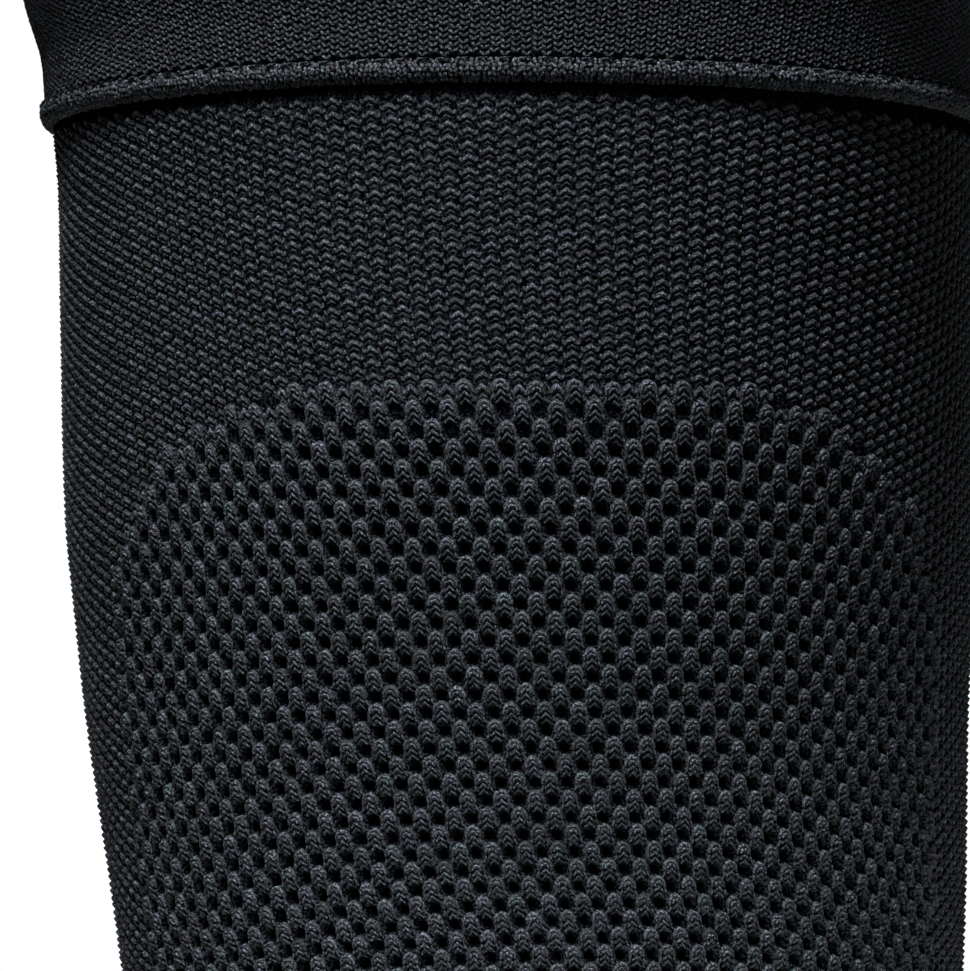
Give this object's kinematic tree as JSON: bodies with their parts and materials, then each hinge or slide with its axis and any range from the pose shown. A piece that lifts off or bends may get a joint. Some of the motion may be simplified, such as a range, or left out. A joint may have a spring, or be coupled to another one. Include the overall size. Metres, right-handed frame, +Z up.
{
  "type": "knee sleeve",
  "caption": "Knitted tube support for a knee, with fine flared cuffs, rolled hems and a thicker mesh-knit panel over the front of the knee.",
  "frame": {"origin": "middle of the knee, inside the sleeve's hollow, halfway between its two rims", "axes": "+Z up the leg to the thigh end, -Y to the front of the knee, +X to the viewer's right seen from the front"},
  "size_m": [0.1432, 0.1428, 0.3],
  "materials": {
    "cuff_knit": "fine V-stitch knit, matt charcoal",
    "hem_knit": "rolled knit edge, matt charcoal, slightly lighter",
    "plain_knit": "plain knit with staggered stitches, matt near-black",
    "mesh_knit": "raised pods between dark pits, matt near-black"
  },
  "bodies": {
    "root": {"thigh_cuff": "cuff_knit", "thigh_hem": "hem_knit", "leg_tube": "plain_knit", "knee_panel": "mesh_knit", "calf_hem": "hem_knit", "calf_cuff": "cuff_knit"}
  },
  "joints": []
}
